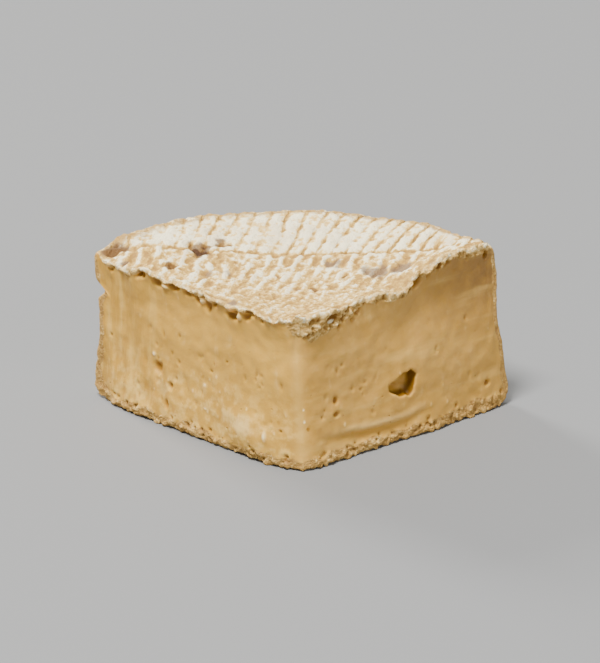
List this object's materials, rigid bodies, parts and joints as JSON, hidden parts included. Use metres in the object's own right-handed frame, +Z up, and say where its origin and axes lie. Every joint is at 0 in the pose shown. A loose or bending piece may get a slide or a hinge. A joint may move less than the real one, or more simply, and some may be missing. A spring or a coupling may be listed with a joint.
{
  "type": "camembert wedge",
  "caption": "Cut wedge of soft ripened cheese with a white ribbed rind on its top and round side and golden paste on its cut faces.",
  "frame": {"origin": "on the resting face, under the middle of the wedge's box", "axes": "+Z up through the cheese's height, +Y from the wedge's point to its round side, +X across to the right cut face"},
  "size_m": [0.082, 0.0554, 0.0357],
  "materials": {
    "rind": "dry, matt and slightly powdery bloom over tan rind",
    "paste": "moist, soft satin cut surface"
  },
  "bodies": {
    "root": {"camembert_wedge": "rind"}
  },
  "joints": []
}
